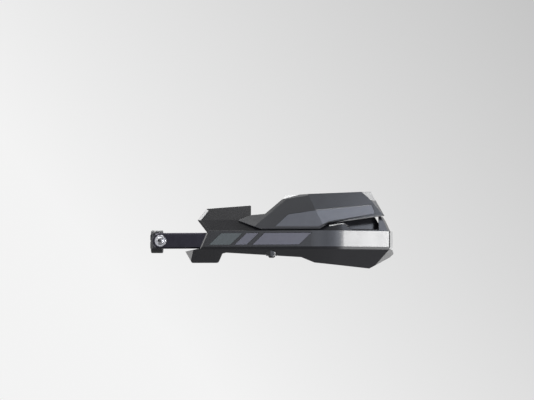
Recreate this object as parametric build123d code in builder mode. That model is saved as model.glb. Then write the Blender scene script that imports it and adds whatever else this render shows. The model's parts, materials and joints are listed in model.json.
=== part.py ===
"""Motorcycle hand guard for the left-hand grip, in millimetres.

Frame: the origin is on the handlebar's axis, in the middle of the guard's clamp. +X runs along
the handlebar to its outer end, -Y points forwards to the road and +Z is up.
"""

import os
from math import cos, radians, sin, tan

from build123d import *

# Handlebar
bar_radius = 11.1
bar_end_x = 296.0

# Clamp on the handlebar
clamp_wall = 5.0
clamp_width = 17.0
clamp_gap = 1.6
clamp_ear_height = 9.0
clamp_ear_reach = 6.5
clamp_screw_offset = 18.5
clamp_screw_radius = 3.0
clamp_screw_length = 18.0
clamp_head_radius = 5.0
clamp_head_height = 4.5
clamp_key = 4.0
clamp_edge = 1.0
arm_slope = 8.0
arm_width = 19.0
arm_turn = 9.0

# Plan of the guard, at the front face of its band
pivot_x = 5.6
pivot_distance = 60.5
front_heading = -10.4
outer_heading = 28.0
end_heading = 80.0
bend_x = 239.7
bend_radius = 70.0
corner_x = 326.7
end_leg_length = 32.0

# Bow, a flat aluminium bar
bow_behind_band = 8.0
bow_height = 22.0
bow_thickness = 8.0
bow_edge = 1.8
bow_overhang = 11.8
bow_end_radius = 10.0
bow_end_bend_radius = 26.0
bow_end_x = 323.5
bow_tab_reach = 11.5

# Section of the shell
shell_wall = 3.0
band_rise = 13.5
band_drop = 11.0
band_bottom_edge = 2.2
band_corner_edge = 0.6
ledge = 3.0
crease_rise = 15.0
lower_flap_lean = 25.0
upper_flap_lean = 33.0
lip_lean = 48.0

# Upper inner flap of the shell, seen from the front
flap_x = 71.5
flap_length = 62.0
flap_inner_rise = 31.2
flap_outer_rise = 35.6
flap_tip_x = 59.2
flap_notch_x = 72.3
flap_notch_drop = 2.0
flap_corner = 1.5
flap_bevel = 3.8
flap_bevel_depth = 2.4

# Lower inner flap of the shell
band_start_x = 62.5
start_bevel = 2.2
foot_tip_x = 42.0
foot_tip_drop = 3.9
foot_x = 51.0
foot_length = 37.0
foot_drop = 19.7
foot_corner = 4.0
foot_slant = 6.0
foot_notch_drop = 7.0
foot_return_x = 48.9
foot_return_slope = 5.2
foot_return_heading = -50.0

# Lower lip of the shell
lip_x = 99.3
lip_drop = 5.8
lip_step_x = 202.8
lip_step_drop = 12.2
lip_step_length = 18.5
lip_deep_drop = 19.6
lip_corner_x = 298.9
lip_corner_drop = 27.4

# Flare of the shell's outer end, under the band
flare_heading = 66.0
flare_length = 34.0
flare_shelf = 13.0
flare_x = 335.0
flare_slope = 4.0
flare_drop = 8.2
flare_corner = 4.0

# Carrier of the spoiler, with an air scoop let into its outer half
carrier_rise = 20.0
pillar_rise = 21.0
scoop_x = 262.0
scoop_slope = 10.5
scoop_sill = 2.2
scoop_end_x = 311.0
scoop_wall_rise = 22.8
scoop_rim_x = 228.0
scoop_rim_rise = 1.5
scoop_rim_bend_x = 241.0
scoop_rim_bend_rise = 7.4
scoop_rim_end_rise = 10.6
scoop_rim_bevel = 1.2
scoop_lip_height = 2.0
scoop_depth = 9.0
scoop_tab_x = 284.0
scoop_tab_width = 16.0
scoop_tab_rise = 33.0

# Decor stripes let into the band
stripe_rise = 10.0
stripe_drop = 6.0
stripe_depth = 0.8
stripe_gap = 0.15
stripe_angle = 43.0
inner_stripe_x = 75.5
inner_stripe_length = 29.5
middle_stripe_x = 111.0
middle_stripe_length = 16.5
outer_stripe_x = 135.5
outer_stripe_length = 65.0

# Spoiler: a hollow moulding of flat facets
spoiler_wall = 2.5
spoiler_proud = 2.5
spoiler_return = 14.0
front_facet_lean = 12.0
outer_facet_heading = 26.0
outer_facet_lean = 26.0
outer_facet_x = 236.0
side_facet_heading = 55.0
side_facet_lean = 42.5
side_facet_x = 288.6
end_facet_lean = 36.3
end_facet_x = 303.4
end_facet_rise = 39.8
tip_facet_heading = -18.0
tip_facet_lean = 20.0
tip_facet_x = 146.0
tip_facet_rise = 12.0
top_facet_x = 210.0
top_facet_rise = 50.2
top_facet_angle = 3.6
limb_cut_x = 181.0
limb_cut_rise = 43.2
limb_cut_end_x = 240.0
limb_cut_end_rise = 52.6
limb_cut_height = 3.0
limb_cut_depth = 1.8
bevel_heading = -40.0
bevel_lean = 66.0
bevel_x = 181.0
bevel_rise = 44.0

# Outline of the spoiler, seen from the front
spoiler_gap = 1.6
spoiler_edge = 1.4
spoiler_tip_x = 115.0
spoiler_tip_rise = 14.2
spoiler_foot_x = 148.3
spoiler_kink_x = 227.7
spoiler_kink_length = 12.1
spoiler_kink_rise = 9.0
spoiler_outer_x = 319.5
spoiler_outer_rise = 21.5
spoiler_peak_x = 302.4
spoiler_peak_rise = 54.0
spoiler_limb_x = 179.7
spoiler_limb_rise = 45.8
spoiler_elbow_x = 152.9
spoiler_elbow_rise = 23.1
spoiler_horn_x = 134.4
spoiler_horn_rise = 21.6

# Grey panel let into the spoiler
panel_depth = 0.8
panel_gap = 0.15
panel_x = 167.3
panel_rise = 5.5
panel_shoulder_x = 185.0
panel_shoulder_rise = 21.9
panel_knee_x = 219.0
panel_knee_rise = 26.9
panel_end_x = 301.5
panel_end_rise = 36.0
panel_corner_x = 306.0
panel_corner_rise = 24.5
panel_waist_x = 240.0
panel_waist_rise = 12.2
panel_foot_x = 226.5
panel_foot_rise = 5.0

# Pivot bolt of the bow
pivot_radius = 4.0
pivot_length = 22.0
pivot_head_radius = 5.8
pivot_head_height = 4.4
pivot_key = 5.0
pivot_flange_radius = 8.5
pivot_flange_edge = 1.0
pivot_flange_thickness = 1.5

# Small screws, washers and threaded inserts
screw_radius = 2.5
screw_head_radius = 4.75
screw_head_height = 2.8
screw_key = 3.0
washer_radius = 5.5
washer_thickness = 1.0
hole_gap = 0.25
thread_gap = 0.05

# Screws from the bow into the shell
shell_screw_length = 12.0
shell_screw_inner_x = 108.0
shell_screw_middle_x = 193.0
shell_screw_outer_x = 283.0
shell_boss_radius = 6.0
insert_radius = 3.4
insert_length = 5.0

# Screws from the shell into the spoiler
spoiler_screw_length = 12.5
spoiler_screw_inner_x = 160.0
spoiler_screw_middle_x = 208.0
spoiler_screw_rise = 11.5
scoop_screw_rise = 26.0
spoiler_boss_radius = 4.5
pad_radius = 6.0

# Screw from under the lip into the bow
lip_screw_x = 160.0
lip_screw_drop = 8.7
lip_screw_length = 17.5
lip_boss_radius = 8.5
lip_washer_radius = 8.0
lip_washer_thickness = 1.6

# Bar end fixing
bar_end_washer_radius = 9.0
bar_end_washer_thickness = 1.6
weight_radius = 16.0
weight_edge = 2.0
expander_radius = 7.0
expander_length = 32.0
expander_slot = 1.6
expander_slot_length = 14.0
cone_length = 12.0
cone_tip_radius = 5.2
cone_seat = 6.0
bolt_overrun = 3.0


def heading(angle):
    """Plan direction: 0 runs along +X and positive angles turn back to the rider."""
    return Vector(cos(radians(angle)), sin(radians(angle)), 0)


def outward(angle):
    """Plan normal that points away from the rider, for a face with that heading."""
    return Vector(sin(radians(angle)), -cos(radians(angle)), 0)


# Plan points of the band's front face
bend_angle = outer_heading - front_heading
bend_heading = (outer_heading + front_heading) / 2
bend_tangent = bend_radius * tan(radians(bend_angle / 2))
outer_run = (corner_x - bend_x) / cos(radians(outer_heading))
face_origin = Vector(0, -pivot_distance, 0)
bend_point = face_origin + heading(front_heading) * (bend_x / cos(radians(front_heading)))
corner_point = bend_point + heading(outer_heading) * outer_run
bend_start = bend_point - heading(front_heading) * bend_tangent
bend_end = bend_point + heading(outer_heading) * bend_tangent
bend_centre = bend_start - outward(front_heading) * bend_radius


def front_point(x, depth=0.0, z=0.0):
    """Point on the front leg, at that x of the band's face and that far behind it."""
    along = heading(front_heading) * (x / cos(radians(front_heading)))
    return face_origin + along - outward(front_heading) * depth + Vector(0, 0, z)


def outer_point(x, depth=0.0, z=0.0):
    """Point on the outer leg, at that x of the band's face and that far behind it."""
    along = heading(outer_heading) * ((x - bend_x) / cos(radians(outer_heading)))
    return bend_point + along - outward(outer_heading) * depth + Vector(0, 0, z)


def section_plane(point, angle):
    """Plane across a leg: local x runs behind the face, local y is up."""
    return Plane(origin=point, x_dir=-outward(angle), z_dir=heading(angle))


def rear_plane(point, angle):
    """Upright plane along a leg whose normal points back to the rider."""
    return Plane(origin=point, x_dir=heading(angle), z_dir=-outward(angle))


def facet_plane(point, angle, lean):
    """Outer plane of a facet with that heading, leaning back from the upright."""
    normal = outward(angle) * cos(radians(lean)) + Vector(0, 0, sin(radians(lean)))
    return Plane(origin=point, x_dir=heading(angle), z_dir=normal)


def facet_point(plane, x, z):
    """Point of a facet's plane that shows at x and z in the front view."""
    away = (x - plane.origin.X) * plane.z_dir.X + (z - plane.origin.Z) * plane.z_dir.Z
    return Vector(x, plane.origin.Y - away / plane.z_dir.Y, z)


def plane_through(origin, first, second):
    """Plane through three points, which turn anticlockwise as seen from its outer side."""
    return Plane(origin=origin, z_dir=(first - origin).cross(second - origin))


def meeting_point(point, angle, other_point, other_angle):
    """Plan point where two lines with those headings meet."""
    gap = other_point - point
    side = outward(other_angle)
    return point + heading(angle) * (gap.dot(side) / heading(angle).dot(side))


def front_prism(outline, grow=0.0):
    """Prism through the whole guard, with an outline of points and radii in the front view."""
    with BuildPart() as prism:
        with BuildSketch(Plane.XZ):
            with BuildLine():
                FilletPolyline(
                    *[point for point, _ in outline],
                    radius=[radius for _, radius in outline],
                    close=True,
                )
            make_face()
            if grow:
                offset(amount=grow, kind=Kind.INTERSECTION)
        extrude(amount=pivot_distance * 3, both=True)
    return prism.part


def edge_wedge(facet, start, end, width, depth):
    """Wedge off a facet's edge, which runs from start to end in the front view, its body on the left.

    It starts at that width from the edge, and is that deep at the edge.
    """
    run = (Vector(*end) - Vector(*start)).normalized()
    inward = Vector(-run.Y, run.X) * width
    corners = [
        Vector(*start) - inward,
        Vector(*end) - inward,
        Vector(*end) + inward,
        Vector(*start) + inward,
    ]
    slope = plane_through(
        facet_point(facet, corners[3].X, corners[3].Y),
        facet_point(facet, *start) + Vector(0, depth, 0),
        facet_point(facet, corners[2].X, corners[2].Y),
    )
    with BuildPart() as wedge:
        add(front_prism([((corner.X, corner.Y), 0) for corner in corners]))
        split(bisect_by=slope, keep=Keep.TOP)
    return wedge.part


def screw(radius, length, head_radius, head_height, key):
    """Button head screw: the head stands on the XY plane and the shank hangs below it."""
    crown_radius = head_radius * 0.55
    rim = head_height * 0.25
    tip = radius * 0.3
    with BuildPart() as body:
        with BuildSketch(Plane.XZ):
            with BuildLine():
                Polyline(
                    (crown_radius, head_height),
                    (0, head_height),
                    (0, -length),
                    (radius - tip, -length),
                    (radius, tip - length),
                    (radius, 0),
                    (head_radius, 0),
                    (head_radius, rim),
                )
                ThreePointArc(
                    (head_radius, rim),
                    (head_radius * 0.87, head_height * 0.7),
                    (crown_radius, head_height),
                )
            make_face()
        revolve(axis=Axis.Z)
        with BuildSketch(Plane.XY.offset(head_height)):
            RegularPolygon(key / 2, 6, major_radius=False)
        extrude(amount=-head_height * 0.65, mode=Mode.SUBTRACT)
    return body.part


def flanged_bolt(length):
    """Button head bolt with a thin flange under its head."""
    with BuildPart() as body:
        add(screw(pivot_radius, length, pivot_head_radius, pivot_head_height, pivot_key))
        Cone(
            pivot_flange_radius,
            pivot_flange_radius - pivot_flange_edge,
            pivot_flange_thickness,
            align=(Align.CENTER, Align.CENTER, Align.MIN),
        )
    return body.part


def ring(outer, inner, length):
    """Plain ring that stands on the XY plane."""
    with BuildPart() as body:
        with BuildSketch():
            Circle(outer)
            Circle(inner, mode=Mode.SUBTRACT)
        extrude(amount=length)
    return body.part


# Bow: bent flat bar with rounded ends
bow_rear = bow_behind_band + bow_thickness
bow_bend = bend_point - outward(bend_heading) * (bow_behind_band / cos(radians(bend_angle / 2)))
bow_run = (bow_end_x - bow_bend.X) / cos(radians(outer_heading))
pivot_front = rear_plane(front_point(pivot_x, bow_behind_band), front_heading)
pivot_rear = pivot_front.offset(bow_thickness)
bow_tab = Plane(origin=(bow_end_x, 0, 0), z_dir=(1, 0, 0))
shell_screw_places = [
    rear_plane(front_point(shell_screw_inner_x, bow_rear), front_heading),
    rear_plane(front_point(shell_screw_middle_x, bow_rear), front_heading),
    rear_plane(outer_point(shell_screw_outer_x, bow_rear), outer_heading),
]
lip_screw_depth = bow_behind_band + bow_thickness / 2
lip_screw_place = Plane(
    origin=front_point(lip_screw_x, lip_screw_depth, -band_drop - lip_screw_drop),
    x_dir=heading(front_heading),
    z_dir=(0, 0, -1),
)

with BuildPart() as bow:
    with BuildSketch():
        with BuildLine():
            FilletPolyline(
                front_point(pivot_x - bow_overhang, bow_behind_band),
                bow_bend,
                bow_bend + heading(outer_heading) * bow_run,
                (bow_end_x, bow_tab_reach),
                radius=[bend_radius - bow_behind_band, bow_end_bend_radius],
            )
            offset(amount=bow_thickness, side=Side.LEFT, kind=Kind.INTERSECTION)
        make_face()
    extrude(amount=bow_height / 2, both=True)
    across = bow.edges().filter_by(lambda edge: abs(edge.length - bow_thickness) < 0.001)
    fillet(across, radius=bow_end_radius)
    rims = bow.edges().filter_by(lambda edge: abs(edge.length - bow_thickness) > 0.001)
    chamfer(rims, length=bow_edge)
    with Locations(pivot_rear, bow_tab):
        Hole(pivot_radius + hole_gap, depth=bow_thickness * 2)
    with Locations(*shell_screw_places):
        Hole(screw_radius + hole_gap, depth=bow_thickness * 2)
    with Locations(lip_screw_place):
        Hole(screw_radius + thread_gap, depth=lip_screw_length + thread_gap)
bow.part.label = "bow"

# Pivot bolt: holds the bow's inner end to the clamp
with BuildPart() as pivot_bolt:
    with Locations(Plane(origin=pivot_front.origin, x_dir=pivot_front.x_dir, z_dir=-pivot_front.z_dir)):
        add(flanged_bolt(pivot_length))
pivot_bolt.part.label = "pivot_bolt"

# Clamp body: lower half of the ring, its ears and the arm to the bow
ear_end = clamp_screw_offset + clamp_ear_reach
ear_bottom = -clamp_gap / 2 - clamp_ear_height
ear_places = [(0, clamp_screw_offset, 0), (0, -clamp_screw_offset, 0)]

with BuildPart() as clamp_arm:
    with BuildSketch(Plane.YZ):
        with BuildLine():
            Polyline(
                (-clamp_screw_offset, ear_bottom),
                (-clamp_screw_offset, -clamp_gap / 2),
                (-ear_end, -clamp_gap / 2),
                (-ear_end - arm_slope, bow_height / 2),
                (-pivot_distance, bow_height / 2),
                (-pivot_distance, -bow_height / 2),
                close=True,
            )
        make_face()
    extrude(amount=pivot_x + arm_width, both=True)
    with BuildSketch():
        with BuildLine():
            Polyline(
                (-clamp_width / 2, 0),
                (-clamp_width / 2, -ear_end),
                (pivot_x - arm_width / 2, -ear_end - arm_turn),
                (pivot_x - arm_width / 2, -pivot_distance),
                (pivot_x + arm_width / 2, -pivot_distance),
                (pivot_x + arm_width / 2, -ear_end - arm_turn),
                (clamp_width / 2, -ear_end),
                (clamp_width / 2, 0),
                close=True,
            )
        make_face()
    extrude(amount=bow_height, both=True, mode=Mode.INTERSECT)
    split(bisect_by=pivot_rear, keep=Keep.TOP)

with BuildPart() as clamp_body:
    with BuildSketch(Plane.YZ):
        Circle(bar_radius + clamp_wall)
        with Locations((0, -clamp_gap / 2)):
            Rectangle(ear_end * 2, clamp_ear_height, align=(Align.CENTER, Align.MAX))
            Rectangle(ear_end * 4, ear_end * 2, align=(Align.CENTER, Align.MIN), mode=Mode.SUBTRACT)
        Circle(bar_radius, mode=Mode.SUBTRACT)
    extrude(amount=clamp_width / 2, both=True)
    chamfer(clamp_body.faces().filter_by(Axis.X).edges(), length=clamp_edge)
    add(clamp_arm.part)
    with Locations(pivot_front.offset(pivot_length + thread_gap)):
        Hole(pivot_radius + thread_gap, depth=pivot_length)
    with Locations(*ear_places):
        Hole(clamp_screw_radius + thread_gap)
clamp_body.part.label = "clamp_body"

# Clamp cap: upper half of the ring
with BuildPart() as clamp_cap:
    with BuildSketch(Plane.YZ):
        Circle(bar_radius + clamp_wall)
        with Locations((0, clamp_gap / 2)):
            Rectangle(ear_end * 2, clamp_ear_height, align=(Align.CENTER, Align.MIN))
            Rectangle(ear_end * 4, ear_end * 2, align=(Align.CENTER, Align.MAX), mode=Mode.SUBTRACT)
        Circle(bar_radius, mode=Mode.SUBTRACT)
    extrude(amount=clamp_width / 2, both=True)
    chamfer(clamp_cap.faces().filter_by(Axis.X).edges(), length=clamp_edge)
    with Locations(*ear_places):
        Hole(clamp_screw_radius + hole_gap)
clamp_cap.part.label = "clamp_cap"

with BuildPart() as clamp_screws:
    with Locations(Plane.XY.offset(clamp_gap / 2 + clamp_ear_height)):
        with Locations(*ear_places):
            add(
                screw(
                    clamp_screw_radius,
                    clamp_screw_length,
                    clamp_head_radius,
                    clamp_head_height,
                    clamp_key,
                )
            )
clamp_screws.part.label = "clamp_screws"


# Stripes let into the band of the front leg
band_plane = Plane(origin=face_origin, x_dir=heading(front_heading), z_dir=outward(front_heading))


def stripe_bar(x, length, grow=0.0):
    """Slanted bar in the band's face, grown on all sides for its recess."""
    start = x / cos(radians(front_heading))
    slant = (stripe_rise + stripe_drop) / tan(radians(stripe_angle))
    with BuildPart() as bar:
        with BuildSketch(band_plane):
            with BuildLine():
                Polyline(
                    (start, -stripe_drop),
                    (start + length, -stripe_drop),
                    (start + length + slant, stripe_rise),
                    (start + slant, stripe_rise),
                    close=True,
                )
            make_face()
            if grow:
                offset(amount=grow, kind=Kind.INTERSECTION)
        extrude(amount=-stripe_depth)
    return bar.part


with BuildPart() as inner_stripe:
    add(stripe_bar(inner_stripe_x, inner_stripe_length))
inner_stripe.part.label = "inner_stripe"

with BuildPart() as middle_stripe:
    add(stripe_bar(middle_stripe_x, middle_stripe_length))
middle_stripe.part.label = "middle_stripe"

with BuildPart() as outer_stripe:
    add(stripe_bar(outer_stripe_x, outer_stripe_length))
outer_stripe.part.label = "outer_stripe"


# Shell: one wall section carried along three legs and trimmed to its outline
def flap_depth(rise):
    """How far behind the band the flap's outer face lies, at that height over the band."""
    lower = min(rise, crease_rise) * tan(radians(lower_flap_lean))
    upper = max(rise - crease_rise, 0) * tan(radians(upper_flap_lean))
    return ledge + lower + upper


def pad_depth(rise):
    """Depth of a screw pad's flat rear face, just behind the leaning wall."""
    return flap_depth(rise + pad_radius) + shell_wall / cos(radians(upper_flap_lean))


def shell_section(plane):
    """Wall section of the shell: leaning flap, ledge, upright band and sloping lip."""
    top = max(flap_outer_rise, scoop_tab_rise) + shell_wall * 2
    bottom = max(lip_corner_drop, foot_drop) + shell_wall * 2
    with BuildSketch(plane) as section:
        with BuildLine():
            Polyline(
                (flap_depth(top), band_rise + top),
                (flap_depth(crease_rise), band_rise + crease_rise),
                (ledge, band_rise),
                (0, band_rise),
                (0, -band_drop),
                (bottom * tan(radians(lip_lean)), -band_drop - bottom),
            )
            offset(amount=shell_wall, side=Side.LEFT, kind=Kind.INTERSECTION)
        make_face()
        chamfer(section.vertices().sort_by_distance((0, -band_drop))[0], length=band_bottom_edge)
    return section.sketch


def flare_section(plane):
    """Wall section of the flare: a shelf under the band and the sloping lip."""
    reach = lip_corner_drop + shell_wall * 2
    with BuildSketch(plane) as section:
        with BuildLine():
            Polyline(
                (flare_shelf, lip_z),
                (lip_depth, lip_z),
                (lip_depth + reach * tan(radians(lip_lean)), lip_z - reach),
            )
            offset(amount=shell_wall, side=Side.LEFT, kind=Kind.INTERSECTION)
        make_face()
    return section.sketch


def scoop_section(plane, depth):
    """Thick section of the leaning flap, from its outer face to that depth behind it."""
    top = scoop_tab_rise + shell_wall * 2
    bottom = band_rise + scoop_rim_rise - shell_wall
    with BuildSketch(plane) as section:
        with BuildLine():
            Polyline(
                (ledge, bottom),
                (ledge, band_rise),
                (flap_depth(crease_rise), band_rise + crease_rise),
                (flap_depth(top), band_rise + top),
                (flap_depth(top) + depth, band_rise + top),
                (flap_depth(crease_rise) + depth, band_rise + crease_rise),
                (ledge + depth, band_rise),
                (ledge + depth, bottom),
                close=True,
            )
        make_face()
    return section.sketch


lip_z = -band_drop - band_bottom_edge * cos(radians(lip_lean))
lip_depth = band_bottom_edge * sin(radians(lip_lean))
lip_level = Plane.XY.offset(lip_z)
corner_heading = (outer_heading + end_heading) / 2
corner_cut = Plane(
    origin=corner_point - outward(corner_heading) * band_corner_edge, z_dir=outward(corner_heading)
)
mitre = Plane(origin=corner_point, z_dir=heading(corner_heading))
flare_mitre = Plane(origin=corner_point, z_dir=heading((outer_heading + flare_heading) / 2))
mitre_reach = end_leg_length * 2
end_leg_start = corner_point - heading(end_heading) * mitre_reach
flare_start = corner_point - heading(flare_heading) * mitre_reach

with BuildPart() as front_leg:
    extrude(
        shell_section(section_plane(face_origin, front_heading)),
        amount=(bend_start - face_origin).length,
    )

with BuildPart() as bend:
    revolve(
        shell_section(section_plane(bend_start, front_heading)),
        axis=Axis(bend_centre, (0, 0, 1)),
        revolution_arc=bend_angle,
    )

with BuildPart() as outer_leg:
    extrude(shell_section(section_plane(bend_end, outer_heading)), amount=outer_run + mitre_reach)
    split(bisect_by=mitre, keep=Keep.BOTTOM)

with BuildPart() as outer_lip:
    extrude(shell_section(section_plane(bend_end, outer_heading)), amount=outer_run + mitre_reach)
    split(bisect_by=lip_level, keep=Keep.BOTTOM)
    split(bisect_by=flare_mitre, keep=Keep.BOTTOM)

with BuildPart() as end_leg:
    extrude(
        shell_section(section_plane(end_leg_start, end_heading)),
        amount=mitre_reach + end_leg_length,
    )
    split(bisect_by=mitre, keep=Keep.TOP)
    split(bisect_by=lip_level, keep=Keep.TOP)

with BuildPart() as flare:
    extrude(flare_section(section_plane(flare_start, flare_heading)), amount=mitre_reach + flare_length)
    split(bisect_by=flare_mitre, keep=Keep.TOP)

crease_z = band_rise + crease_rise
notch_z = band_rise - flap_notch_drop
sill_z = band_rise + scoop_sill
carrier_z = band_rise + carrier_rise
pillar_z = band_rise + pillar_rise
tab_z = band_rise + scoop_tab_rise
flap_end_x = flap_x + flap_length
foot_end_x = foot_x + foot_length
foot_z = -band_drop - foot_drop
foot_tip_z = -band_drop - foot_tip_drop
shell_right = corner_x + end_leg_length
shell_outline = [
    ((flap_tip_x, crease_z), 0),
    ((flap_x, band_rise + flap_inner_rise), 0),
    ((flap_end_x, band_rise + flap_outer_rise), flap_corner),
    ((flap_end_x, carrier_z), 0),
    ((scoop_rim_x, carrier_z), 0),
    ((scoop_rim_x, band_rise + scoop_wall_rise), 0),
    ((scoop_tab_x, band_rise + scoop_wall_rise), 0),
    ((scoop_tab_x, tab_z), flap_corner),
    ((scoop_tab_x + scoop_tab_width, tab_z), flap_corner),
    ((scoop_tab_x + scoop_tab_width, band_rise + scoop_wall_rise), 0),
    ((scoop_end_x, band_rise + scoop_wall_rise), 0),
    ((scoop_end_x, pillar_z), 0),
    ((shell_right, pillar_z), 0),
    ((shell_right, lip_z), 0),
    ((flare_x - flare_slope, lip_z), 0),
    ((flare_x, -band_drop - flare_drop), flare_corner),
    ((lip_corner_x, -band_drop - lip_corner_drop), 0),
    ((lip_step_x + lip_step_length, -band_drop - lip_deep_drop), 0),
    ((lip_step_x, -band_drop - lip_step_drop), 0),
    ((lip_x, -band_drop - lip_drop), 0),
    ((foot_end_x + foot_slant, -band_drop - foot_notch_drop), foot_corner / 2),
    ((foot_end_x, foot_z), foot_corner),
    ((foot_x, foot_z), foot_corner / 2),
    ((foot_tip_x, foot_tip_z), 0),
    ((band_start_x, -band_drop), 0),
    ((flap_notch_x, notch_z), 0),
]

foot_outline = [
    ((foot_tip_x, foot_tip_z), 0),
    ((foot_x, foot_z), foot_corner / 2),
    ((band_start_x, foot_z), 0),
    ((band_start_x, -band_drop), 0),
]

rim_bend_z = band_rise + scoop_rim_bend_rise
rim_end_z = band_rise + scoop_rim_end_rise
scoop_rim = [
    (scoop_rim_x, band_rise + scoop_rim_rise),
    (scoop_rim_bend_x, rim_bend_z),
    (scoop_x, rim_end_z),
    (scoop_x + scoop_slope, sill_z),
    (scoop_end_x, sill_z),
]
scoop_outline = [(point, 0) for point in scoop_rim]
scoop_outline += [((scoop_end_x, tab_z * 2), 0), ((scoop_rim_x, tab_z * 2), 0)]

scoop_lip_outline = [
    ((scoop_rim_bend_x, rim_bend_z), 0),
    ((scoop_rim_bend_x, rim_bend_z - scoop_lip_height), 0),
    ((scoop_x, rim_end_z - scoop_lip_height), 0),
    ((scoop_x, rim_end_z), 0),
]

spoiler_screw_z = band_rise + spoiler_screw_rise
scoop_screw_z = band_rise + scoop_screw_rise
scoop_screw_depth = flap_depth(scoop_screw_rise) + scoop_depth
scoop_screw_x = scoop_tab_x + scoop_tab_width / 2 + scoop_screw_depth * sin(radians(outer_heading))
front_pad_depth = pad_depth(spoiler_screw_rise)
scoop_pad_depth = pad_depth(scoop_screw_rise) + scoop_depth
front_flap = facet_plane(front_point(0, ledge, band_rise), front_heading, lower_flap_lean)
scoop_wall = facet_plane(
    outer_point(bend_x, flap_depth(crease_rise) + scoop_depth, crease_z),
    outer_heading,
    upper_flap_lean,
)
front_screw_places = [
    rear_plane(front_point(spoiler_screw_inner_x, front_pad_depth, spoiler_screw_z), front_heading),
    rear_plane(front_point(spoiler_screw_middle_x, front_pad_depth, spoiler_screw_z), front_heading),
]
scoop_screw_place = rear_plane(
    outer_point(scoop_screw_x, scoop_pad_depth, scoop_screw_z), outer_heading
)
spoiler_screw_places = front_screw_places + [scoop_screw_place]
shell_boss_places = [place.offset(-bow_thickness) for place in shell_screw_places]
lip_boss_height = band_drop + lip_screw_drop - bow_height / 2

# The foot's inner end turns back, and the inner edges of band and flap are bevelled
front_lip = facet_plane(front_point(0, 0, -band_drop), front_heading, -lip_lean)
foot_top = facet_point(front_lip, foot_return_x + foot_return_slope, -band_drop)
foot_bottom = facet_point(front_lip, foot_return_x, foot_z)
foot_plane = plane_through(foot_top, foot_top - heading(foot_return_heading), foot_bottom)

with BuildPart() as foot_trim:
    add(front_prism(foot_outline, shell_wall))
    split(bisect_by=foot_plane, keep=Keep.TOP)

with BuildPart() as foot_return:
    add(front_prism(foot_outline))
    split(bisect_by=foot_plane, keep=Keep.BOTTOM)
    split(bisect_by=foot_plane.offset(-shell_wall), keep=Keep.TOP)
    split(bisect_by=front_lip, keep=Keep.BOTTOM)

band_start = [(flap_notch_x, notch_z), (band_start_x, -band_drop)]
flap_top = [(flap_x, band_rise + flap_inner_rise), (flap_tip_x, crease_z)]
flap_bottom = [(flap_tip_x, crease_z), (flap_notch_x, notch_z)]
upper_flap = facet_plane(
    front_point(0, flap_depth(crease_rise), crease_z), front_heading, upper_flap_lean
)
outer_flap = facet_plane(outer_point(bend_x, ledge, band_rise), outer_heading, lower_flap_lean)

with BuildPart() as bevels:
    add(edge_wedge(band_plane, *band_start, start_bevel, start_bevel))
    add(edge_wedge(upper_flap, *flap_top, flap_bevel, flap_bevel_depth))
    add(edge_wedge(front_flap, *flap_bottom, flap_bevel, flap_bevel_depth))
    for first, second in zip(scoop_rim[2:], scoop_rim[3:]):
        add(edge_wedge(outer_flap, second, first, scoop_rim_bevel, scoop_rim_bevel))

# Upright lip on the rim, level with the outer leg's flap at its lower end
scoop_lip_depth = flap_depth(scoop_rim_end_rise - scoop_lip_height)
scoop_lip_front = Plane(origin=outer_point(scoop_x, scoop_lip_depth), z_dir=outward(outer_heading))
with BuildPart() as scoop_lip:
    add(front_prism(scoop_lip_outline))
    split(bisect_by=scoop_lip_front, keep=Keep.BOTTOM)
    split(bisect_by=scoop_lip_front.offset(-shell_wall * 2), keep=Keep.TOP)

with BuildPart() as front_pads:
    with Locations(*front_screw_places):
        Cylinder(pad_radius, pad_radius * 3, align=(Align.CENTER, Align.CENTER, Align.MAX))
    split(bisect_by=front_flap.offset(-shell_wall / 2), keep=Keep.BOTTOM)

with BuildPart() as scoop_pad:
    with Locations(scoop_screw_place):
        Cylinder(pad_radius, pad_radius * 3, align=(Align.CENTER, Align.CENTER, Align.MAX))
    split(bisect_by=scoop_wall.offset(-shell_wall / 2), keep=Keep.BOTTOM)


def scoop_block(depth, grow=0.0):
    """Thick flap round the bend and along the outer leg, inside the scoop's outline."""
    with BuildPart() as block:
        revolve(
            scoop_section(section_plane(bend_start, front_heading), depth),
            axis=Axis(bend_centre, (0, 0, 1)),
            revolution_arc=bend_angle,
        )
        extrude(
            scoop_section(section_plane(bend_end, outer_heading), depth),
            amount=outer_run + mitre_reach,
        )
        add(front_prism(scoop_outline, grow), mode=Mode.INTERSECT)
    return block.part


with BuildPart() as scoop_box:
    add(scoop_block(scoop_depth + shell_wall, shell_wall))
    split(bisect_by=mitre, keep=Keep.BOTTOM)

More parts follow.
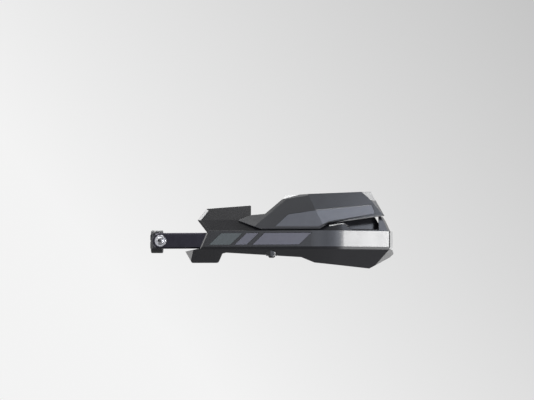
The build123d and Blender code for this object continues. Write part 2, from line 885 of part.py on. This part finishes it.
with BuildPart() as front_shell:
    add(front_leg.part)
    add(bend.part)
    add(outer_leg.part)
    add(outer_lip.part)
    add(end_leg.part)
    add(flare.part)
    add(scoop_box.part)
    add(scoop_block(scoop_depth), mode=Mode.SUBTRACT)
    add(front_prism(shell_outline), mode=Mode.INTERSECT)
    add(scoop_lip.part)
    add(foot_trim.part, mode=Mode.SUBTRACT)
    add(foot_return.part)
    add(bevels.part, mode=Mode.SUBTRACT)
    split(bisect_by=corner_cut, keep=Keep.BOTTOM)
    add(front_pads.part)
    add(scoop_pad.part)
    with Locations(*shell_boss_places):
        Cylinder(
            shell_boss_radius,
            bow_behind_band - shell_wall / 2,
            align=(Align.CENTER, Align.CENTER, Align.MAX),
        )
    with Locations(lip_screw_place):
        Cylinder(lip_boss_radius, lip_boss_height, align=(Align.CENTER, Align.CENTER, Align.MAX))
        Hole(screw_radius + hole_gap, depth=lip_boss_height)
        Cylinder(
            lip_boss_radius,
            lip_boss_height,
            align=(Align.CENTER, Align.CENTER, Align.MIN),
            mode=Mode.SUBTRACT,
        )
    with Locations(*shell_boss_places):
        Hole(insert_radius, depth=insert_length)
    with Locations(*spoiler_screw_places):
        Hole(screw_radius + hole_gap, depth=pad_radius * 2)
    add(stripe_bar(inner_stripe_x, inner_stripe_length, stripe_gap), mode=Mode.SUBTRACT)
    add(stripe_bar(middle_stripe_x, middle_stripe_length, stripe_gap), mode=Mode.SUBTRACT)
    add(stripe_bar(outer_stripe_x, outer_stripe_length, stripe_gap), mode=Mode.SUBTRACT)
front_shell.part.label = "front_shell"

# Spoiler: facets that enclose a hollow, trimmed to its outline
front_facet = facet_plane(front_point(0, -spoiler_proud, band_rise), front_heading, front_facet_lean)
outer_facet = facet_plane(
    facet_point(front_facet, outer_facet_x, band_rise), outer_facet_heading, outer_facet_lean
)
side_facet = facet_plane(
    facet_point(outer_facet, side_facet_x, band_rise + spoiler_peak_rise),
    side_facet_heading,
    side_facet_lean,
)
end_facet = facet_plane(
    facet_point(outer_facet, end_facet_x, band_rise + end_facet_rise),
    side_facet_heading,
    end_facet_lean,
)
tip_facet = facet_plane(
    facet_point(front_facet, tip_facet_x, band_rise + tip_facet_rise), tip_facet_heading, tip_facet_lean
)
bevel = facet_plane(facet_point(front_facet, bevel_x, band_rise + bevel_rise), bevel_heading, bevel_lean)
top_facet = Plane(
    origin=(top_facet_x, 0, band_rise + top_facet_rise),
    z_dir=(-sin(radians(top_facet_angle)), 0, cos(radians(top_facet_angle))),
)
spoiler_facets = [front_facet, outer_facet, side_facet, end_facet, tip_facet, bevel, top_facet]
limb_point = facet_point(front_facet, spoiler_limb_x, band_rise + spoiler_limb_rise)
shoulder_point = facet_point(outer_facet, side_facet_x, band_rise + spoiler_peak_rise)


def faceted_body(inset, rear_depth):
    """Block that ends at the facets, moved in by the inset, and at an upright rear."""
    front_line = limb_point - outward(front_heading) * rear_depth
    outer_line = shoulder_point - outward(outer_facet_heading) * rear_depth
    reach = spoiler_outer_x
    with BuildPart() as body:
        with BuildSketch():
            with BuildLine():
                Polyline(
                    Vector(front_line.X, front_line.Y) - heading(front_heading) * reach,
                    meeting_point(
                        Vector(front_line.X, front_line.Y),
                        front_heading,
                        Vector(outer_line.X, outer_line.Y),
                        outer_facet_heading,
                    ),
                    Vector(outer_line.X, outer_line.Y) + heading(outer_facet_heading) * reach,
                    (reach * 2, -reach),
                    (-reach, -reach),
                    close=True,
                )
            make_face()
        extrude(amount=band_rise + spoiler_peak_rise * 2)
        for plane in spoiler_facets:
            split(bisect_by=plane.offset(-inset), keep=Keep.BOTTOM)
    return body.part


def spoiler_skin(depth, outline, grow=0.0):
    """Outer layer of the spoiler inside an outline of the front view."""
    with BuildPart() as skin:
        add(faceted_body(0, spoiler_return))
        add(faceted_body(depth, spoiler_return + spoiler_wall), mode=Mode.SUBTRACT)
        add(front_prism(outline, grow), mode=Mode.INTERSECT)
    return skin.part


def front_view(points):
    """Outline with sharp corners, from x and the height over the band."""
    return [((x, band_rise + rise), 0) for x, rise in points]


panel_outline = front_view(
    [
        (panel_x, panel_rise),
        (panel_shoulder_x, panel_shoulder_rise),
        (panel_knee_x, panel_knee_rise),
        (panel_end_x, panel_end_rise),
        (panel_corner_x, panel_corner_rise),
        (panel_waist_x, panel_waist_rise),
        (panel_foot_x, panel_foot_rise),
    ]
)
spoiler_outline = front_view(
    [
        (spoiler_tip_x, spoiler_tip_rise),
        (spoiler_foot_x, spoiler_gap),
        (spoiler_kink_x, spoiler_gap),
        (spoiler_kink_x + spoiler_kink_length, spoiler_kink_rise),
        (spoiler_outer_x, spoiler_outer_rise),
        (spoiler_peak_x, spoiler_peak_rise),
        (spoiler_peak_x, spoiler_peak_rise * 1.5),
        (spoiler_limb_x, spoiler_peak_rise * 1.5),
        (spoiler_limb_x, spoiler_limb_rise),
        (spoiler_elbow_x, spoiler_elbow_rise),
        (spoiler_horn_x, spoiler_horn_rise),
    ]
)

with BuildPart() as front_bosses:
    with Locations(*front_screw_places):
        Cylinder(spoiler_boss_radius, front_pad_depth * 2, align=(Align.CENTER, Align.CENTER, Align.MAX))
    split(bisect_by=front_flap, keep=Keep.TOP)
    split(bisect_by=front_facet.offset(-spoiler_wall / 2), keep=Keep.BOTTOM)

with BuildPart() as scoop_boss:
    with Locations(scoop_screw_place):
        Cylinder(spoiler_boss_radius, scoop_pad_depth * 2, align=(Align.CENTER, Align.CENTER, Align.MAX))
    split(bisect_by=scoop_wall, keep=Keep.TOP)
    split(bisect_by=outer_facet.offset(-spoiler_wall / 2), keep=Keep.BOTTOM)

limb_cut_top = facet_point(front_facet, limb_cut_x, band_rise + limb_cut_rise + limb_cut_height)
limb_cut = plane_through(
    facet_point(front_facet, limb_cut_x, band_rise + limb_cut_rise),
    facet_point(front_facet, limb_cut_end_x, band_rise + limb_cut_end_rise),
    limb_cut_top + Vector(0, limb_cut_depth, 0),
)

spoiler_lower_edge = [point for point, _ in spoiler_outline[1:5]]
with BuildPart() as spoiler_bevels:
    for first, second in zip(spoiler_lower_edge, spoiler_lower_edge[1:]):
        add(edge_wedge(front_facet, first, second, spoiler_edge, spoiler_edge))
        add(edge_wedge(outer_facet, first, second, spoiler_edge, spoiler_edge))

with BuildPart() as spoiler:
    add(spoiler_skin(spoiler_wall, spoiler_outline))
    add(spoiler_bevels.part, mode=Mode.SUBTRACT)
    split(bisect_by=limb_cut, keep=Keep.BOTTOM)
    add(spoiler_skin(panel_depth, panel_outline, panel_gap), mode=Mode.SUBTRACT)
    add(front_bosses.part)
    add(scoop_boss.part)
    with Locations(*spoiler_screw_places):
        Hole(screw_radius + thread_gap, depth=spoiler_screw_length + thread_gap)
spoiler.part.label = "spoiler"

with BuildPart() as spoiler_panel:
    add(spoiler_skin(panel_depth, panel_outline))
spoiler_panel.part.label = "spoiler_panel"

# Small fasteners of the shell, the spoiler and the lip
small_washer = ring(washer_radius, screw_radius + hole_gap, washer_thickness)
with BuildPart() as shell_screws:
    with Locations(*shell_screw_places):
        add(screw(screw_radius, shell_screw_length, screw_head_radius, screw_head_height, screw_key))
shell_screws.part.label = "shell_screws"

with BuildPart() as shell_inserts:
    with Locations(*[place.offset(-insert_length) for place in shell_boss_places]):
        add(ring(insert_radius, screw_radius + thread_gap, insert_length))
shell_inserts.part.label = "shell_inserts"

with BuildPart() as spoiler_washers:
    with Locations(*spoiler_screw_places):
        add(small_washer)
spoiler_washers.part.label = "spoiler_washers"

with BuildPart() as spoiler_screws:
    with Locations(*[place.offset(washer_thickness) for place in spoiler_screw_places]):
        add(screw(screw_radius, spoiler_screw_length, screw_head_radius, screw_head_height, screw_key))
spoiler_screws.part.label = "spoiler_screws"

with BuildPart() as lip_washer:
    with Locations(lip_screw_place):
        add(ring(lip_washer_radius, screw_radius + hole_gap, lip_washer_thickness))
lip_washer.part.label = "lip_washer"

with BuildPart() as lip_screw:
    with Locations(lip_screw_place.offset(lip_washer_thickness)):
        add(screw(screw_radius, lip_screw_length, screw_head_radius, screw_head_height, screw_key))
lip_screw.part.label = "lip_screw"

# Bar end fixing: washer and bolt outside the bow, weight, slotted sleeve and cone inside
tab_rear_x = bow_end_x - bow_thickness
sleeve_x = bar_end_x - expander_length
cone_tip_x = sleeve_x + cone_seat
cone_x = cone_tip_x - cone_length
bolt_length = bow_end_x + bar_end_washer_thickness - cone_x + bolt_overrun
seat_radius = cone_tip_radius + (expander_radius - cone_tip_radius) * cone_seat / cone_length

with BuildPart() as bar_end_washer:
    with Locations(bow_tab):
        add(ring(bar_end_washer_radius, pivot_radius + hole_gap, bar_end_washer_thickness))
bar_end_washer.part.label = "bar_end_washer"

with BuildPart() as bar_end_bolt:
    with Locations(bow_tab.offset(bar_end_washer_thickness)):
        add(flanged_bolt(bolt_length))
bar_end_bolt.part.label = "bar_end_bolt"

with BuildPart() as bar_end_weight:
    with BuildSketch(Plane.YZ.offset(bar_end_x)):
        Circle(weight_radius)
        Circle(pivot_radius + hole_gap, mode=Mode.SUBTRACT)
    extrude(amount=tab_rear_x - bar_end_x)
    rims = bar_end_weight.edges().filter_by(GeomType.CIRCLE).group_by(SortBy.RADIUS)[-1]
    chamfer(rims, length=weight_edge)
bar_end_weight.part.label = "bar_end_weight"

with BuildPart() as expander_sleeve:
    with BuildSketch(Plane.XZ):
        with BuildLine():
            Polyline(
                (bar_end_x, pivot_radius + hole_gap),
                (bar_end_x, expander_radius),
                (sleeve_x, expander_radius),
                (sleeve_x, seat_radius + thread_gap),
                (cone_tip_x, cone_tip_radius + thread_gap),
                (cone_tip_x, pivot_radius + hole_gap),
                close=True,
            )
        make_face()
    revolve(axis=Axis.X)
    with Locations((sleeve_x, 0, 0)):
        Box(
            expander_slot_length,
            expander_radius * 3,
            expander_slot,
            align=(Align.MIN, Align.CENTER, Align.CENTER),
            mode=Mode.SUBTRACT,
        )
        Box(
            expander_slot_length,
            expander_slot,
            expander_radius * 3,
            align=(Align.MIN, Align.CENTER, Align.CENTER),
            mode=Mode.SUBTRACT,
        )
expander_sleeve.part.label = "expander_sleeve"

with BuildPart() as expander_cone:
    with BuildSketch(Plane.XZ):
        with BuildLine():
            Polyline(
                (cone_x, pivot_radius + thread_gap),
                (cone_x, expander_radius),
                (cone_tip_x, cone_tip_radius),
                (cone_tip_x, pivot_radius + thread_gap),
                close=True,
            )
        make_face()
    revolve(axis=Axis.X)
expander_cone.part.label = "expander_cone"

# Write every piece
pieces = [bow, pivot_bolt, clamp_body, clamp_cap, clamp_screws]
pieces += [front_shell, inner_stripe, middle_stripe, outer_stripe, spoiler, spoiler_panel]
pieces += [shell_screws, shell_inserts, spoiler_washers, spoiler_screws, lip_washer, lip_screw]
pieces += [bar_end_washer, bar_end_bolt, bar_end_weight, expander_sleeve, expander_cone]
os.makedirs("parts", exist_ok=True)
for piece in pieces:
    export_step(piece.part, "parts/" + piece.part.label + ".step")
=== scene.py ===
"""Looks of the motorcycle hand guard: its finishes, its edges, soft light and the camera."""

import json
from math import cos, pi, radians, sin, tan

import bpy
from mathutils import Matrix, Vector

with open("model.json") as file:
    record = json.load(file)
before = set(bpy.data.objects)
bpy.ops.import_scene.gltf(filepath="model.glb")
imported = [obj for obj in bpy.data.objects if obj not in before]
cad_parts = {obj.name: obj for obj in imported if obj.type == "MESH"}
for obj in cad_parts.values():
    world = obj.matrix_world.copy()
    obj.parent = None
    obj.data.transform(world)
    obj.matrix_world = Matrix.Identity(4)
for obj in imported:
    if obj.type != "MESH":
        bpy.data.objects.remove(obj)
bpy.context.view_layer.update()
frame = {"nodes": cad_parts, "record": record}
nodes = frame["nodes"]
mm = 0.001

# Camera: the photograph's angle, a little below the guard and far away
view_target = Vector((0.1557, -0.085, 0.0556))
view_distance = 3.0
view_elevation = -2.5
view_width = 0.7369
sensor_width = 36.0

# Edges: width in mm of the face that rounds each edge
edge_widths = {"front_shell": 0.45, "spoiler": 0.54, "bow": 0.4, "clamp_body": 0.5, "clamp_cap": 0.5}
edge_segments = 2

# Points this near are joined, faces within this angle are merged, and edges over this angle are rounded
join_distance = 0.002 * mm
flat_angle = radians(0.5)
sharp_angle = radians(20)

# Shading at an edge: 50 treats all faces alike, and at 100 the larger face alone decides
large_face_weight = 100

# Grain and marks: strength of every bump, detail of the noise, and how far a turning mark wavers
bump_strength = 0.5
noise_detail = 2.0
mark_waver = 0.5

# Noise values at which clouds are darkest and palest
cloud_low = 0.3
cloud_high = 0.7

# Painted shade in recesses: share of open directions at which a recess is painted fully dark, and at which
# it is as pale as the rest
recess_dark = 0.35
recess_pale = 0.8

# Sockets of a Mix node for colours, which has several of each name
mix_share = 0
mix_first = 6
mix_second = 7
mix_result = 2

# Floor: half its width, and its height
floor_half = 3.4
floor_height = -1.1

# Lamps: half the angle that each grid lets light out in, and the tint of a cool lamp
grid = radians(30)
wide_grid = radians(50)
cool = "#e6eeff"

# Studio light from all round
ambient_strength = 0.32

# Backdrop: a slope across the world's directions, and the brightness at its start and end
backdrop_slope = (1.15, 0.0, 0.97)
slope_start = -0.07
slope_end = 0.29
backdrop_start = 0.9
backdrop_end = 0.54


def linear(code):
    """Linear RGBA of an sRGB hex colour: c / 12.92, or ((c + 0.055) / 1.055) to the power 2.4."""
    channels = [int(code[i : i + 2], 16) / 255 for i in (1, 3, 5)]
    return [c / 12.92 if c <= 0.04045 else ((c + 0.055) / 1.055) ** 2.4 for c in channels] + [1.0]


def add_node(tree, kind, values=None, links=None, **settings):
    """Add one node: settings go to its properties, values to its sockets, links join sockets to it."""
    node = tree.nodes.new(kind)
    for name, value in settings.items():
        setattr(node, name, value)
    for name, value in (values or {}).items():
        node.inputs[name].default_value = value
    for name, source in (links or {}).items():
        tree.links.new(source, node.inputs[name])
    return node


def new_material(name, colour, **sockets):
    """Material with one Principled shader, its constant values set on the shader's own sockets."""
    material = bpy.data.materials.new(name)
    material.use_nodes = True
    shader = material.node_tree.nodes["Principled BSDF"]
    shader.inputs["Base Color"].default_value = linear(colour)
    for socket, value in sockets.items():
        shader.inputs[socket.replace("_", " ")].default_value = value
    return material


def add_grain(material, size, height):
    """Fine grain of a mould, a coat or a blasted face: noise that wide, as a bump of that height.

    Real grain is about 0.1 mm wide, too fine to show, so each finish draws it several times coarser.
    """
    tree = material.node_tree
    place = add_node(tree, "ShaderNodeTexCoord")
    noise = add_node(
        tree,
        "ShaderNodeTexNoise",
        values={"Scale": 1 / size, "Detail": noise_detail},
        links={"Vector": place.outputs["Object"]},
    )
    bump = add_node(
        tree,
        "ShaderNodeBump",
        values={"Strength": bump_strength, "Distance": height},
        links={"Height": noise.outputs["Fac"]},
    )
    tree.links.new(bump.outputs["Normal"], tree.nodes["Principled BSDF"].inputs["Normal"])


def add_turning(material, pitch, height):
    """Marks of a lathe tool round the X axis: waves along X of that pitch, as a bump of that height.

    A wave texture of scale s repeats every pi / (10 s). Real marks are about 0.15 mm apart, too fine to
    show, so they are drawn about three times coarser.
    """
    tree = material.node_tree
    place = add_node(tree, "ShaderNodeTexCoord")
    marks = add_node(
        tree,
        "ShaderNodeTexWave",
        values={"Scale": pi / 10 / pitch, "Distortion": mark_waver},
        links={"Vector": place.outputs["Object"]},
    )
    bump = add_node(
        tree,
        "ShaderNodeBump",
        values={"Strength": bump_strength, "Distance": height},
        links={"Height": marks.outputs["Fac"]},
    )
    tree.links.new(bump.outputs["Normal"], tree.nodes["Principled BSDF"].inputs["Normal"])


def add_clouds(material, size, dark, pale, smooth, rough):
    """Uneven finish: soft clouds of that width carry the colour and the roughness between two values."""
    tree = material.node_tree
    shader = tree.nodes["Principled BSDF"]
    place = add_node(tree, "ShaderNodeTexCoord")
    clouds = add_node(
        tree,
        "ShaderNodeTexNoise",
        values={"Scale": 1 / size, "Detail": noise_detail},
        links={"Vector": place.outputs["Object"]},
    )
    share = add_node(
        tree,
        "ShaderNodeMapRange",
        values={"From Min": cloud_low, "From Max": cloud_high},
        links={"Value": clouds.outputs["Fac"]},
    )
    colour = add_node(
        tree,
        "ShaderNodeMix",
        values={mix_first: linear(dark), mix_second: linear(pale)},
        links={mix_share: share.outputs["Result"]},
        data_type="RGBA",
    )
    roughness = add_node(
        tree,
        "ShaderNodeMapRange",
        values={"From Min": cloud_low, "From Max": cloud_high, "To Min": smooth, "To Max": rough},
        links={"Value": clouds.outputs["Fac"]},
    )
    tree.links.new(colour.outputs[mix_result], shader.inputs["Base Color"])
    tree.links.new(roughness.outputs["Result"], shader.inputs["Roughness"])


def add_painted_recess_shade(material, reach, dark):
    """Painted shade in recesses: where faces within that reach shut out the light, the colour is painted
    dark.
    """
    tree = material.node_tree
    base = tree.nodes["Principled BSDF"].inputs["Base Color"]
    surface = base.links[0].from_socket
    # Painted shade: ambient occlusion darkens the base colour where recesses shut out the light
    openness = add_node(tree, "ShaderNodeAmbientOcclusion", values={"Distance": reach})
    share = add_node(
        tree,
        "ShaderNodeMapRange",
        values={"From Min": recess_dark, "From Max": recess_pale},
        links={"Value": openness.outputs["AO"]},
    )
    colour = add_node(
        tree,
        "ShaderNodeMix",
        values={mix_first: linear(dark)},
        links={mix_share: share.outputs["Result"], mix_second: surface},
        data_type="RGBA",
    )
    tree.links.new(colour.outputs[mix_result], base)


def shell_material():
    """Black polyamide, moulded in a fine texture: dark, with a soft gloss that shows large lights."""
    material = new_material("black_polyamide_moulded", "#17171a", IOR=1.46)
    add_clouds(material, size=14 * mm, dark="#161619", pale="#18181b", smooth=0.25, rough=0.27)
    add_grain(material, size=0.6 * mm, height=0.01 * mm)
    return material


def spoiler_material():
    """Black ABS, moulded in the same texture: a shade lighter than the shell, with a softer gloss."""
    material = new_material("black_abs_moulded", "#27282b", IOR=1.52)
    add_clouds(material, size=14 * mm, dark="#26272a", pale="#28292c", smooth=0.32, rough=0.36)
    add_grain(material, size=0.6 * mm, height=0.008 * mm)
    return material


def film_material(name, dark, pale):
    """Satin vinyl film: an even grey with a soft sheen and the faint ripple of a calendered sheet."""
    material = new_material(name, dark, IOR=1.48)
    add_clouds(material, size=9 * mm, dark=dark, pale=pale, smooth=0.4, rough=0.44)
    add_grain(material, size=1.2 * mm, height=0.004 * mm)
    return material


def bow_material():
    """Black anodised aluminium, drawn flat bar: dark metal with a soft reflection."""
    material = new_material("black_anodised_aluminium", "#2d2c32", Metallic=1.0)
    add_clouds(material, size=8 * mm, dark="#2b2a30", pale="#2f2e34", smooth=0.3, rough=0.34)
    add_grain(material, size=0.5 * mm, height=0.006 * mm)
    return material


def clamp_material():
    """Black anodised aluminium, blasted: duller than the bow."""
    material = new_material("blasted_anodised_aluminium", "#2b2b2e", Metallic=0.5)
    add_clouds(material, size=6 * mm, dark="#28282b", pale="#2e2e31", smooth=0.42, rough=0.48)
    add_grain(material, size=0.5 * mm, height=0.01 * mm)
    return material


def stainless_material():
    """Stainless steel, cold headed and tumbled: bright, with faint scuffs and painted shade in its sockets.
    """
    material = new_material("stainless_steel_tumbled", "#a9a9ad", Metallic=1.0)
    add_clouds(material, size=1.5 * mm, dark="#a0a0a4", pale="#b2b2b6", smooth=0.2, rough=0.3)
    # Painted shade: the sockets and other recesses are darkened in the colour
    add_painted_recess_shade(material, reach=5 * mm, dark="#232325")
    add_grain(material, size=0.4 * mm, height=0.002 * mm)
    return material


def oxide_material():
    """Black oxide on steel: near black, slightly blotched, with an oily sheen."""
    material = new_material("black_oxide_steel", "#1c1c1f", IOR=1.5)
    add_clouds(material, size=2 * mm, dark="#18181b", pale="#222225", smooth=0.3, rough=0.4)
    add_grain(material, size=0.4 * mm, height=0.003 * mm)
    return material


def brass_material():
    """Brass, turned: warm yellow metal with a satin surface."""
    material = new_material("brass_turned", "#c8a45a", Metallic=1.0)
    add_clouds(material, size=1.5 * mm, dark="#bd984e", pale="#d2b068", smooth=0.3, rough=0.4)
    add_grain(material, size=0.3 * mm, height=0.004 * mm)
    return material


def weight_material():
    """Black powder coat on steel: even black with the orange peel of a baked coat."""
    material = new_material("black_powder_coated_steel", "#1f1f22", IOR=1.5)
    add_clouds(material, size=8 * mm, dark="#1d1d20", pale="#212124", smooth=0.38, rough=0.42)
    add_grain(material, size=1.0 * mm, height=0.02 * mm)
    return material


def expander_material():
    """Plain aluminium, turned: pale metal with the fine rings of the lathe tool."""
    material = new_material("plain_aluminium_turned", "#b4b5b8", Metallic=1.0)
    add_clouds(material, size=5 * mm, dark="#acadb0", pale="#bbbcbf", smooth=0.3, rough=0.38)
    add_turning(material, pitch=0.5 * mm, height=0.01 * mm)
    return material


finishes = {
    "shell_plastic": shell_material(),
    "spoiler_plastic": spoiler_material(),
    "stripe_grey": film_material("grey_vinyl_film", "#606069", "#64646d"),
    "panel_grey": film_material("panel_vinyl_film", "#54565c", "#585a60"),
    "bow_metal": bow_material(),
    "clamp_metal": clamp_material(),
    "stainless": stainless_material(),
    "screw_black": oxide_material(),
    "insert_brass": brass_material(),
    "weight_steel": weight_material(),
    "expander_metal": expander_material(),
}

for part in frame["record"]["subparts"]:
    mesh = nodes[part["node"]].data
    mesh.materials.clear()
    mesh.materials.append(finishes[part["material_slot"]])

# Painted light: the inner stripe's film is painted a little greener and darker than the other two, for the
# light that falls on it there
nodes["inner_stripe"].data.materials[0] = film_material("inner_stripe_film_painted_light", "#4d5354", "#515758")


def round_edges(name, width):
    """Rounded edges on a CAD piece: join its triangles, merge flat ones, then bevel each sharp edge.

    Normals weighted by face area keep the large faces flat and the bends smooth.
    """
    piece = nodes[name]
    weld = piece.modifiers.new("join", "WELD")
    weld.merge_threshold = join_distance
    flat = piece.modifiers.new("merge_flat", "DECIMATE")
    flat.decimate_type = "DISSOLVE"
    flat.angle_limit = flat_angle
    bevel = piece.modifiers.new("edges", "BEVEL")
    bevel.offset_type = "WIDTH"
    bevel.width = width
    bevel.segments = edge_segments
    bevel.limit_method = "ANGLE"
    bevel.angle_limit = sharp_angle
    bevel.use_clamp_overlap = False
    shading = piece.modifiers.new("shading", "WEIGHTED_NORMAL")
    shading.keep_sharp = True
    shading.weight = large_face_weight


for name, width in edge_widths.items():
    round_edges(name, width * mm)


def plane_mesh(name, half, height):
    """Square plate: its four corners at plus and minus half, at one height."""
    corners = [(-half, -half, height), (half, -half, height), (half, half, height), (-half, half, height)]
    mesh = bpy.data.meshes.new(name)
    mesh.from_pydata(corners, [], [(0, 1, 2, 3)])
    plate = bpy.data.objects.new(name, mesh)
    bpy.context.scene.collection.objects.link(plate)
    return plate


# Pale painted floor: even and matt
floor = plane_mesh("floor", floor_half, floor_height)
floor.data.materials.append(new_material("pale_floor", "#d6d6d6", Roughness=0.9))


def softbox(name, place, aim, size, radiance, half_spread=0.0, tint="#ffffff"):
    """Rectangular lamp of that radiance on its axis: pi x area x radiance watts.

    A grid in front of it lets light out up to the half spread h only, which leaves 1 - h / tan h of them.
    """
    width, height = size
    lamp = bpy.data.lights.new(name, "AREA")
    lamp.shape = "RECTANGLE"
    lamp.size = width
    lamp.size_y = height
    lamp.color = linear(tint)[:3]
    lamp.energy = pi * width * height * radiance
    if half_spread:
        lamp.spread = 2 * half_spread
        lamp.energy *= 1 - half_spread / tan(half_spread)
    holder = bpy.data.objects.new(name, lamp)
    holder.location = place
    holder.rotation_euler = (Vector(aim) - Vector(place)).to_track_quat("-Z", "Y").to_euler()
    holder.visible_camera = False
    bpy.context.scene.collection.objects.link(holder)


# Each lamp: its place, the point it aims at, its width and height, its radiance, its grid and its tint
# Main light: over the guard, and a wide one in front of it for the band and the spoiler
softbox("overhead", (0.1, 0.06, 1.6), (0.15, -0.05, 0.0), (1.2, 0.8), 3.6)
softbox("front", (0.18, -2.4, 0.1), (0.18, -0.08, 0.0), (1.8, 1.0), 2.5, wide_grid, cool)

# From the right: the bend's gradient, then the bright panel beside it
softbox("front_right", (1.3, -1.9, 0.08), (0.25, -0.1, 0.0), (0.75, 0.9), 3.0, grid, cool)
softbox("near_right", (1.52, -1.35, 0.06), (0.25, -0.1, 0.0), (0.4, 0.7), 5.4, grid, cool)
softbox("right", (1.661, -0.829, 0.05), (0.285, -0.085, 0.0), (0.32, 0.6), 44.0, grid)

# From the upper right and behind: the spoiler's outer face, its side facets and the wrapped end
softbox("upper_right", (0.72, -0.12, 0.35), (0.3, -0.06, 0.05), (0.2, 0.2), 8.2, grid, cool)
softbox("upper_right_rear", (1.237, 1.563, 1.184), (0.3, -0.05, 0.05), (0.5, 0.5), 8.5, grid)
softbox("right_rear", (1.2, 2.1, -0.4), (0.33, -0.04, 0.0), (1.0, 1.3), 1.4, wide_grid)
softbox("rear_overhead", (-0.1, 1.6, 1.15), (0.18, -0.05, 0.06), (1.5, 0.6), 8.0, grid)

# From the left: the band's end, the flap's bevel and the lower flap
softbox("left", (-1.6, 0.27, 0.63), (0.07, -0.07, 0.0), (0.6, 0.6), 4.0, grid)
softbox("upper_left", (-0.834, 0.386, 1.396), (0.067, -0.056, 0.036), (0.5, 0.5), 18.0, grid)
softbox("upper_left_front", (-0.93, -1.28, 1.25), (0.11, -0.08, 0.03), (0.5, 0.5), 5.2, grid)

# From below: the strip under the bright panel, and the end of the lower flap
softbox("low_right", (1.47, -0.465, -0.83), (0.285, -0.075, 0.0), (0.6, 0.5), 8.0, grid)
softbox("low_left", (-0.85, 0.35, -0.62), (0.055, -0.09, -0.02), (0.5, 0.5), 4.5, grid)


def set_world():
    """Even studio light, and a backdrop that falls in brightness from its lower left to its upper right."""
    world = bpy.data.worlds.new("studio")
    world.use_nodes = True
    bpy.context.scene.world = world
    tree = world.node_tree
    tree.nodes.clear()
    rays = add_node(tree, "ShaderNodeLightPath")
    seen = add_node(
        tree,
        "ShaderNodeMath",
        links={0: rays.outputs["Is Camera Ray"], 1: rays.outputs["Is Glossy Ray"]},
        operation="MAXIMUM",
    )
    seen = add_node(
        tree,
        "ShaderNodeMath",
        links={0: seen.outputs[0], 1: rays.outputs["Is Transmission Ray"]},
        operation="MAXIMUM",
    )
    place = add_node(tree, "ShaderNodeTexCoord")
    slope = add_node(
        tree,
        "ShaderNodeVectorMath",
        values={1: backdrop_slope},
        links={0: place.outputs["Generated"]},
        operation="DOT_PRODUCT",
    )
    fall = add_node(
        tree,
        "ShaderNodeMapRange",
        values={
            "From Min": slope_start,
            "From Max": slope_end,
            "To Min": backdrop_start,
            "To Max": backdrop_end,
        },
        links={"Value": slope.outputs["Value"]},
    )
    ambient = add_node(
        tree,
        "ShaderNodeBackground",
        values={"Color": linear("#ffffff"), "Strength": ambient_strength},
    )
    backdrop = add_node(tree, "ShaderNodeBackground", links={"Color": fall.outputs["Result"]})
    mix = add_node(
        tree,
        "ShaderNodeMixShader",
        links={
            0: seen.outputs[0],
            1: ambient.outputs["Background"],
            2: backdrop.outputs["Background"],
        },
    )
    add_node(tree, "ShaderNodeOutputWorld", links={"Surface": mix.outputs[0]})


set_world()


def set_camera():
    """Camera at that distance and elevation from the target; the frame's width there gives the lens."""
    camera = bpy.data.cameras.new("camera")
    camera.sensor_fit = "HORIZONTAL"
    camera.sensor_width = sensor_width
    camera.lens = sensor_width * view_distance / view_width
    holder = bpy.data.objects.new("camera", camera)
    turn = radians(view_elevation)
    holder.location = view_target + view_distance * Vector((0, -cos(turn), sin(turn)))
    holder.rotation_euler = (view_target - holder.location).to_track_quat("-Z", "Y").to_euler()
    bpy.context.scene.collection.objects.link(holder)
    bpy.context.scene.camera = holder


set_camera()
bpy.context.scene.view_settings.view_transform = "Standard"
